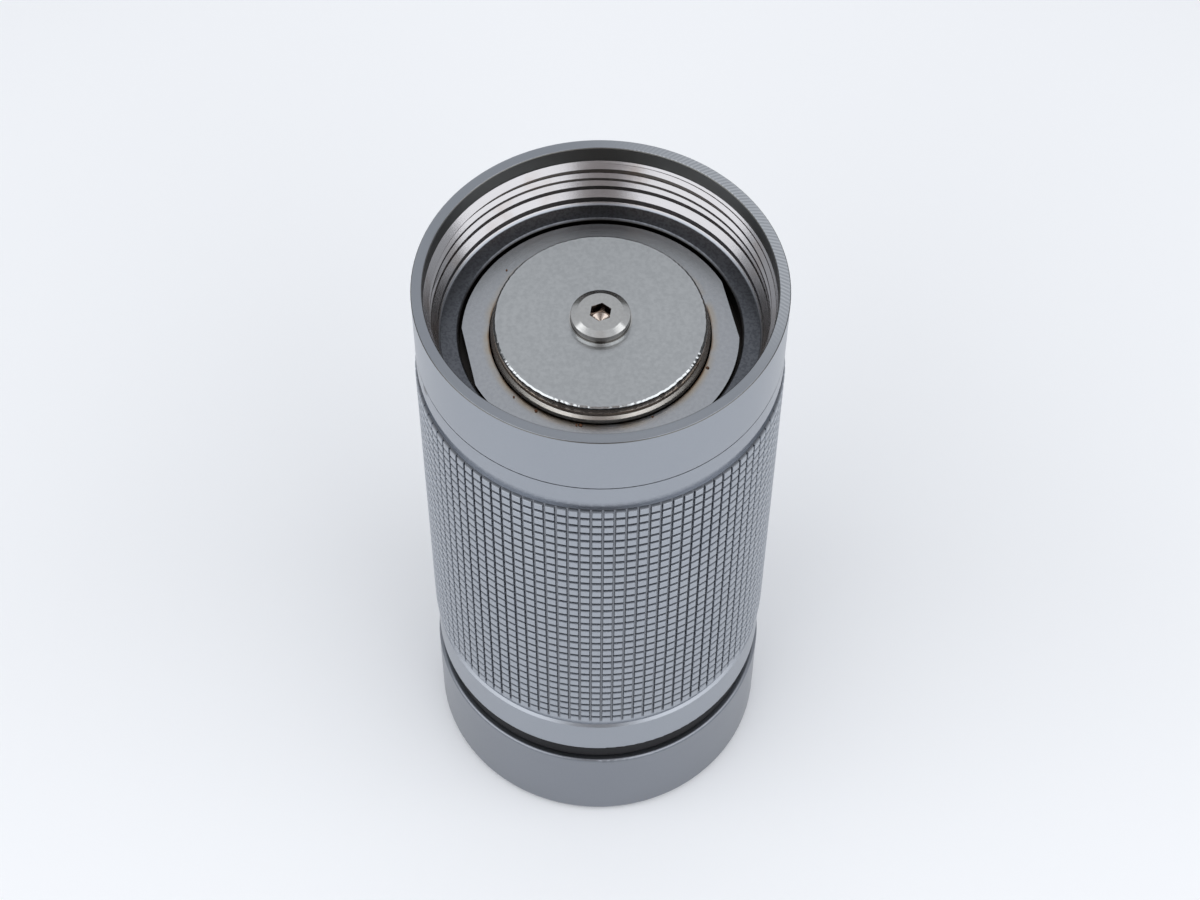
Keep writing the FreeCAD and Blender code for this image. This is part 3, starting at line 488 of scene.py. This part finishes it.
def turned_finish(name, tone, deep, roughness, lines, depth):
    """Turned or ground metal with concentric lines; gives what a piece may add to."""
    material, tree, shader = start_finish(name, roughness)
    where = placed(tree, round_the_axis)
    marks = placed(tree, turning_marks, Along=where["Radius"], Lines=lines)
    mottle = ease(tree, noise(tree, object_place(tree), MOTTLES_PER_METRE), *MOTTLE_LIMITS)
    shade = calc(tree, "ADD", calc(tree, "MULTIPLY", marks["Band"], BAND_SHARE),
                 calc(tree, "MULTIPLY", mottle, MOTTLE_SHARE))
    colour = tint(tree, shade, deep, tone)
    tree.links.new(colour, shader["Base Color"])
    rough = calc(tree, "MULTIPLY_ADD", marks["Band"], BAND_SPREAD, roughness - BAND_SPREAD / 2)
    tree.links.new(rough, shader["Roughness"])
    raise_surface(tree, shader, marks["Height"], depth)
    return material, tree, shader, colour, rough, where


ring_steel, tree, shader, colour, _, where = turned_finish(
    "ground_steel", GROUND_TONE, GROUND_DEEP, GROUND_ROUGHNESS, GRIND_LINES, GRIND_DEPTH)
edge = ease(tree, where["Radius"], BROWNED_RADIUS, BORE_RADIUS)
blotches = ease(tree, noise(tree, object_place(tree), BLOTCHES_PER_METRE), *BLOTCH_LIMITS)
colour = tint(tree, both(tree, edge, blotches), colour, BROWNED_TONE)
lip = both(tree, ease(tree, where["Radius"], BORE_RADIUS + BORE_LIP, BORE_RADIUS), blotches)
tree.links.new(tint(tree, lip, colour, STAIN_TONE), shader["Base Color"])
dress(ring_steel, "outer_burr")

# Inner burr: hardened stainless cone whose bevelled rim shows bright in the grind gap.
# The bevel is a ground ring of its own steel, between the cap's side and the rim.
_, burr_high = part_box("inner_burr")
BURR_TONE = (0.60, 0.58, 0.55)
BURR_DEEP = (0.50, 0.48, 0.45)
BURR_ROUGHNESS = 0.25
BURR_LINES = 7000.0
BURR_LINE_DEPTH = 0.0015 * MM
BEVEL_INNER = 16.1 * MM
BEVEL_OUTER = 16.6 * MM
BEVEL_HEIGHT = 0.36 * MM
BEVEL_STEPS = 240
TURNED_SMOOTH = 25
SAME_POINT = 0.001 * MM


def spun(outline, steps):
    """Closed ring turned about the axis from (radius, height) corners."""
    shape = bmesh.new()
    points = [shape.verts.new((radius, 0, height)) for radius, height in outline]
    edges = [shape.edges.new((points[i - 1], points[i])) for i in range(len(points))]
    bmesh.ops.spin(shape, geom=points + edges, cent=(0, 0, 0), axis=(0, 0, 1), angle=2 * math.pi,
                   steps=steps, use_merge=True)
    bmesh.ops.remove_doubles(shape, verts=shape.verts, dist=SAME_POINT)
    bmesh.ops.recalc_face_normals(shape, faces=shape.faces)
    return shape


burr_steel, *_ = turned_finish(
    "burr_steel", BURR_TONE, BURR_DEEP, BURR_ROUGHNESS, BURR_LINES, BURR_LINE_DEPTH)
dress(burr_steel, "inner_burr")
bevel_corners = ((BEVEL_INNER, burr_high.z), (BEVEL_OUTER, burr_high.z),
                 (BEVEL_INNER, burr_high.z + BEVEL_HEIGHT))
bevel = object_from("burr_rim_bevel", spun(bevel_corners, BEVEL_STEPS), TURNED_SMOOTH)
bevel.data.materials.append(burr_steel)
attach(bevel, "spindle")

# Cap: flat stainless disc that clamps the inner burr, faced on a lathe, with a fine groove round its side.
# Its upper edge is nicked and burred from use, so it glints unevenly.
cap_low, cap_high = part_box("burr_cap")
CAP_TONE = (0.57, 0.59, 0.605)
CAP_DEEP = (0.44, 0.46, 0.475)
CAP_ROUGHNESS = 0.3
CAP_LINES = 6200.0
CAP_LINE_DEPTH = 0.004 * MM
CAP_BRUSHED = 0.55
CAP_BORE = 2.65 * MM
CAP_CHAMFER = 0.15 * MM
CAP_WORN_EDGE = ((0.0, 0.28 * MM), (0.05 * MM, 0.16 * MM), (0.32 * MM, 0.0))
CAP_WORN_REACH = 0.35 * MM
CAP_WORN_FADE = 1.3 * CAP_WORN_REACH
CAP_GROOVE = 0.25 * MM
CAP_STEPS = 720
CAP_NICKS = 330
CAP_SEED = 4
NICK_WIDTHS = (0.12 * MM, 0.5 * MM)
NICK_DEPTHS = (0.01 * MM, 0.055 * MM)
CAP_SIDE_TONE = (0.60, 0.53, 0.47)
CAP_SIDE_SMOOTHER = 0.16


def nicked_cap():
    """The disc, turned from its outline, with nicks along its upper edge."""
    outer = cap_high.x
    groove = (2 * cap_low.z + cap_high.z) / 3
    edge = [(outer - inward, cap_high.z - drop) for inward, drop in CAP_WORN_EDGE]
    outline = ((CAP_BORE, cap_low.z), (outer - CAP_CHAMFER, cap_low.z), (outer, cap_low.z + CAP_CHAMFER),
               (outer, groove - CAP_GROOVE), (outer - CAP_GROOVE, groove), (outer, groove + CAP_GROOVE),
               *edge, (CAP_BORE, cap_high.z))
    shape = spun(outline, CAP_STEPS)
    lip = [point for point in shape.verts if point.co.z > cap_high.z - CAP_WORN_REACH
           and point.co.xy.length > outer - CAP_WORN_REACH]
    chance = random.Random(CAP_SEED)
    for _ in range(CAP_NICKS):
        towards = Matrix.Rotation(chance.uniform(0, 2 * math.pi), 2) @ Vector((1, 0))
        reach = chance.uniform(*NICK_WIDTHS) / outer
        bite = chance.uniform(*NICK_DEPTHS)
        for point in lip:
            off = point.co.xy.angle(towards)
            if off < reach:
                point.co.xy *= 1 - bite * (1 - off / reach) / outer
    return object_from("burr_cap_disc", shape, TURNED_SMOOTH)


cap_steel, tree, shader, colour, rough, where = turned_finish(
    "turned_steel", CAP_TONE, CAP_DEEP, CAP_ROUGHNESS, CAP_LINES, CAP_LINE_DEPTH)
bright_side = ease(tree, where["Radius"], cap_high.x - CAP_WORN_FADE, cap_high.x - CAP_WORN_REACH)
tree.links.new(calc(tree, "MULTIPLY_ADD", bright_side, -CAP_SIDE_SMOOTHER, rough), shader["Roughness"])
below_edge = ease(tree, where["Height"], cap_high.z - CAP_WORN_REACH, cap_high.z - CAP_WORN_FADE)
oily_side = both(tree, bright_side, below_edge)
tree.links.new(tint(tree, oily_side, colour, CAP_SIDE_TONE), shader["Base Color"])
shader["Anisotropic"].default_value = CAP_BRUSHED
ring_way = tree.nodes.new("ShaderNodeTangent")
ring_way.direction_type = "RADIAL"
ring_way.axis = "Z"
tree.links.new(ring_way.outputs["Tangent"], shader["Tangent"])
dress(cap_steel, "burr_cap")
cap_disc = nicked_cap()
cap_disc.data.materials.append(cap_steel)
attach(cap_disc, "spindle")
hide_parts("burr_cap")

# Screw and washer: a low head hex socket screw on a thin washer holds cap and inner burr on the shaft.
# Both are polished stainless. Coffee oil and painted shade darken the socket's walls, a painted highlight
# lightens its floor, and painted shade darkens the head's side.
_, screw_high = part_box("burr_screw")
SCREW_TONE = (0.58, 0.585, 0.58)
SCREW_DEEP = (0.50, 0.505, 0.50)
SCREW_ROUGHNESS = 0.16
SCREW_LINES = 9000.0
SCREW_LINE_DEPTH = 0.001 * MM
SOCKET_RADIUS = 1.8 * MM
SOCKET_WALL = (SOCKET_RADIUS, 0.97 * SOCKET_RADIUS)
SOCKET_MOUTH = (0.05 * MM, 0.2 * MM)
SOCKET_DEPTH = 2.0 * MM
SOCKET_FLOOR = (0.96 * SOCKET_DEPTH, 0.99 * SOCKET_DEPTH)
SOCKET_OIL_AND_SHADE_TONE = (0.05, 0.038, 0.03)
SOCKET_FLOOR_HIGHLIGHT_TONE = (0.50, 0.43, 0.385)
HEAD_RADIUS = 4.5 * MM
HEAD_SIDE_FROM = (0.985 * HEAD_RADIUS, 0.995 * HEAD_RADIUS)
HEAD_SIDE_TO = (1.02 * HEAD_RADIUS, 1.01 * HEAD_RADIUS)
HEAD_SIDE_SHADE_TONE = (0.16, 0.155, 0.15)


def sunk_by(tree, height, drops):
    """Mask that starts at the first drop below the screw's top and holds from the second down."""
    return ease(tree, height, *(screw_high.z - drop for drop in drops))


screw_steel, tree, shader, colour, _, where = turned_finish(
    "screw_steel", SCREW_TONE, SCREW_DEEP, SCREW_ROUGHNESS, SCREW_LINES, SCREW_LINE_DEPTH)
# Coffee oil and painted shade darken the socket's walls; its floor carries a painted highlight.
in_socket = both(tree, ease(tree, where["Radius"], *SOCKET_WALL),
                 sunk_by(tree, where["Height"], SOCKET_MOUTH))
floor_highlight = sunk_by(tree, where["Height"], SOCKET_FLOOR)
socket = tint(tree, floor_highlight, SOCKET_OIL_AND_SHADE_TONE, SOCKET_FLOOR_HIGHLIGHT_TONE)
# Painted shade darkens the head's upright side.
side = both(tree, ease(tree, where["Radius"], *HEAD_SIDE_FROM), ease(tree, where["Radius"], *HEAD_SIDE_TO))
colour = tint(tree, side, colour, HEAD_SIDE_SHADE_TONE)
tree.links.new(tint(tree, in_socket, colour, socket), shader["Base Color"])
dress(screw_steel, "burr_screw", "screw_washer")

# Coffee specks: a few ground crumbs caught along the grind gap, lying on the burr ring's face.
# Each is a small dark lump of coffee, rough all over. SPECKS gives its distance from the axis
# in millimetres, its turn round the axis in degrees and its size in millimetres.
_, ring_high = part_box("outer_burr")
SPECKS = ((17.2, -99.4, 0.27), (17.25, -101.4, 0.2), (17.25, -123.1, 0.26), (17.5, -136.8, 0.2),
          (17.3, -21.6, 0.26), (17.2, -63.1, 0.16), (18.6, 141.0, 0.18))
SPECK_DENTS = (0.75, 1.1)
SPECK_FORM = (1.2, 0.9, 0.5)
SPECK_LIFT = 0.3
SPECK_ROUNDS = 2
SPECK_SMOOTH = 40
SPECK_SEED = 9
SPECK_TONE = (0.10, 0.04, 0.02)
SPECK_PALE = (0.19, 0.085, 0.04)
SPECK_ROUGHNESS = 0.8
SPECK_GRAIN = 6000.0
SPECK_GRAIN_DEPTH = 0.02 * MM


def coffee_crumbs():
    """All the crumbs in one mesh, each a dented ball sunk a little into the face that it lies on."""
    shape = bmesh.new()
    chance = random.Random(SPECK_SEED)
    for radius, turn, size in SPECKS:
        lump = bmesh.ops.create_icosphere(shape, subdivisions=SPECK_ROUNDS, radius=size * MM)["verts"]
        for point in lump:
            point.co *= chance.uniform(*SPECK_DENTS)
        bmesh.ops.scale(shape, verts=lump, vec=SPECK_FORM)
        bmesh.ops.rotate(shape, verts=lump, cent=(0, 0, 0),
                         matrix=Matrix.Rotation(chance.uniform(0, math.pi), 3, "Z"))
        spot = Matrix.Rotation(math.radians(turn), 3, "Z") @ Vector((radius * MM, 0, 0))
        spot.z = ring_high.z + SPECK_LIFT * size * MM
        bmesh.ops.translate(shape, verts=lump, vec=spot)
    return object_from("coffee_specks", shape, SPECK_SMOOTH)


speck_finish, tree, shader = start_finish("coffee_grounds", SPECK_ROUGHNESS, metallic=0.0)
grain = placed(tree, blast_grain, Grain=SPECK_GRAIN)
tree.links.new(tint(tree, grain["Height"], SPECK_TONE, SPECK_PALE), shader["Base Color"])
raise_surface(tree, shader, grain["Height"], SPECK_GRAIN_DEPTH)
specks = coffee_crumbs()
specks.data.materials.append(speck_finish)
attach(specks, "housing")

# Shaft, clips, thrust washer and mouth screws: plain stainless, inside the tube and in the bean mouth.
# The shaft is turned from bar, the clips and the washer are stamped, and the screws hold the mouth ring.
STAINLESS_TONE = (0.58, 0.58, 0.57)
STAINLESS_DEEP = (0.48, 0.48, 0.475)
STAINLESS_ROUGHNESS = 0.28
STAINLESS_LINES = 3000.0
STAINLESS_LINE_DEPTH = 0.001 * MM

stainless, *_ = turned_finish("plain_stainless", STAINLESS_TONE, STAINLESS_DEEP, STAINLESS_ROUGHNESS,
                              STAINLESS_LINES, STAINLESS_LINE_DEPTH)
dress(stainless, "drive_shaft", "shaft_clip", "lower_bearing_clip", "upper_bearing_clip",
      "spring_washer", "mouth_screws")

# Preload spring: one stainless wire wound round the shaft, between thrust washer and shaft collar.
# In the grinder its foot stays with the housing and its top goes with the lift; here the coils are one
# fixed mesh.
WIRE_SMOOTH = 30

coils = bmesh.new()
coils.from_mesh(nodes["preload_spring"].data)
coils.transform(nodes["preload_spring"].matrix_world)
bmesh.ops.remove_doubles(coils, verts=coils.verts, dist=SAME_POINT)
spring = object_from("spring_coils", coils, WIRE_SMOOTH)
spring.data.materials.append(stainless)
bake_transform(spring)
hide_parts("preload_spring")

# Ball bearings: hardened steel races and balls, ground bright, with a brass cage between the balls.
# One sits in the fixed bridge and one in the bridge that the ring lifts, each kept there by its clip.
BEARING_TONE = (0.64, 0.64, 0.64)
BEARING_DEEP = (0.56, 0.56, 0.565)
BEARING_ROUGHNESS = 0.14
BEARING_LINES = 8000.0
BEARING_LINE_DEPTH = 0.0005 * MM
CAGE_TONE = (0.62, 0.44, 0.20)
CAGE_DEEP = (0.52, 0.35, 0.15)
CAGE_ROUGHNESS = 0.3
CAGE_LINES = 4000.0
CAGE_LINE_DEPTH = 0.001 * MM

bearing_steel, *_ = turned_finish(
    "bearing_steel", BEARING_TONE, BEARING_DEEP, BEARING_ROUGHNESS, BEARING_LINES, BEARING_LINE_DEPTH)
cage_brass, *_ = turned_finish(
    "cage_brass", CAGE_TONE, CAGE_DEEP, CAGE_ROUGHNESS, CAGE_LINES, CAGE_LINE_DEPTH)
for end in ("lower", "upper"):
    dress(bearing_steel, f"{end}_bearing_outer_race", f"{end}_bearing_inner_race", f"{end}_bearing_balls")
    dress(cage_brass, f"{end}_bearing_cage")

# Bridges and mouth ring: the three-armed spiders that carry the bearings, and the rim of the bean mouth.
# They are aluminium, milled and turned, and left plain.
PLAIN_TONE = (0.60, 0.605, 0.61)
PLAIN_DEEP = (0.51, 0.515, 0.52)
PLAIN_ROUGHNESS = 0.36
PLAIN_LINES = 2600.0
PLAIN_LINE_DEPTH = 0.002 * MM

plain_aluminium, *_ = turned_finish(
    "plain_aluminium", PLAIN_TONE, PLAIN_DEEP, PLAIN_ROUGHNESS, PLAIN_LINES, PLAIN_LINE_DEPTH)
dress(plain_aluminium, "lower_bridge", "lift_bridge", "mouth_ring")

# Studio floor and camera: pale paper, with painted shade that darkens it to a soft grey away from the
# object.
# The camera looks from the front and from well above, as in the photograph.
FLOOR_TONE = (0.92, 0.935, 0.96)
FLOOR_FAR_SHADE_TONE = (0.66, 0.671, 0.69)
FLOOR_SHADE_GRADE = (0.17, 0.45)
FLOOR_RADIUS = 3.0
FLOOR_SIDES = 96
FLOOR_GLOSS = 0.1
PAPER_ROUGHNESS = 0.9
CAMERA_PLACE = (0.00008, -0.23267, 0.42218)
CAMERA_TILT = math.radians(33.71)
CAMERA_ROLL = 0.00788
CAMERA_LENS = 78.11
CAMERA_NEAREST = 0.01
SENSOR_WIDTH = 36.0

scene = bpy.context.scene
scene.view_settings.view_transform = "Standard"

floor_shape = bmesh.new()
bmesh.ops.create_circle(floor_shape, cap_ends=True, segments=FLOOR_SIDES, radius=FLOOR_RADIUS)
floor = object_from("floor", floor_shape)
floor_finish, tree, shader = start_finish("floor_paper", PAPER_ROUGHNESS, metallic=0.0)
# Painted shade greys the floor away from the object, against the softboxes' light there.
away = ease(tree, placed(tree, round_the_axis)["Radius"], *FLOOR_SHADE_GRADE)
tree.links.new(tint(tree, away, FLOOR_TONE, FLOOR_FAR_SHADE_TONE), shader["Base Color"])
shader["Specular IOR Level"].default_value = FLOOR_GLOSS
floor.data.materials.append(floor_finish)

camera_data = bpy.data.cameras.new("camera")
camera_data.sensor_width = SENSOR_WIDTH
camera_data.lens = CAMERA_LENS
camera_data.clip_start = CAMERA_NEAREST
camera = bpy.data.objects.new("camera", camera_data)
camera.matrix_world = (Matrix.Translation(CAMERA_PLACE) @ Matrix.Rotation(CAMERA_TILT, 4, "X")
                       @ Matrix.Rotation(CAMERA_ROLL, 4, "Z"))
scene.collection.objects.link(camera)
scene.camera = camera

# Studio light: two wide softboxes, left and right of the object, in a pale room with a bright ceiling.
# A matte card above the camera keeps the middle of the thread and of the screw's bevel in shade.
LIT_POINT = Vector((0, 0, 0.1))
SOFTBOX_AWAY = 1.0
SOFTBOX_ELEVATION = math.radians(38)
SOFTBOX_SIDES = (("left", math.radians(-147)), ("right", math.radians(-33)))
SOFTBOX_SIZE = (1.2, 0.85)
SOFTBOX_POWER = 4.0
CARD_PLACE = (0, -0.67, 0.86)
CARD_SIZE = (0.45, 0.9)
CARD_TONE = (0.52, 0.46, 0.43)
HALF_SQUARE = 0.5
HORIZON_TONE = (0.54, 0.555, 0.58)
ROOM_TONE = (0.64, 0.65, 0.67)
ROOM_RISE = (0.0, 0.8)
OVERHEAD_TONE = (0.85, 0.86, 0.88)
OVERHEAD_RISE = (0.9, 0.98)


def facing(place):
    """Placement of a lamp or a card there, turned so that its front looks at the lit point."""
    aim = (LIT_POINT - Vector(place)).to_track_quat("-Z", "Y")
    return Matrix.Translation(place) @ aim.to_matrix().to_4x4()


level = SOFTBOX_AWAY * math.cos(SOFTBOX_ELEVATION)
rise = SOFTBOX_AWAY * math.sin(SOFTBOX_ELEVATION)
for name, side in SOFTBOX_SIDES:
    lamp = bpy.data.lights.new(name, "AREA")
    lamp.shape = "RECTANGLE"
    lamp.size, lamp.size_y = SOFTBOX_SIZE
    lamp.energy = SOFTBOX_POWER
    softbox = bpy.data.objects.new(name, lamp)
    offset = Vector((level * math.cos(side), level * math.sin(side), rise))
    softbox.matrix_world = facing(LIT_POINT + offset)
    softbox.visible_camera = False
    scene.collection.objects.link(softbox)

card_shape = bmesh.new()
bmesh.ops.create_grid(card_shape, x_segments=1, y_segments=1, size=HALF_SQUARE,
                      matrix=facing(CARD_PLACE) @ Matrix.Diagonal((*CARD_SIZE, 1, 1)))
card = object_from("shade_card", card_shape)
card_finish, tree, shader = start_finish("card_paper", PAPER_ROUGHNESS, metallic=0.0)
shader["Base Color"].default_value = (*CARD_TONE, 1.0)
card.data.materials.append(card_finish)
card.visible_camera = False
card.visible_diffuse = False
card.visible_shadow = False

world = bpy.data.worlds.new("studio")
world.use_nodes = True
scene.world = world
tree = world.node_tree
way = tree.nodes.new("ShaderNodeSeparateXYZ")
tree.links.new(tree.nodes.new("ShaderNodeTexCoord").outputs["Generated"], way.inputs[0])
room = tint(tree, ease(tree, way.outputs["Z"], *ROOM_RISE), HORIZON_TONE, ROOM_TONE)
room = tint(tree, ease(tree, way.outputs["Z"], *OVERHEAD_RISE), room, OVERHEAD_TONE)
tree.links.new(room, tree.nodes["Background"].inputs["Color"])
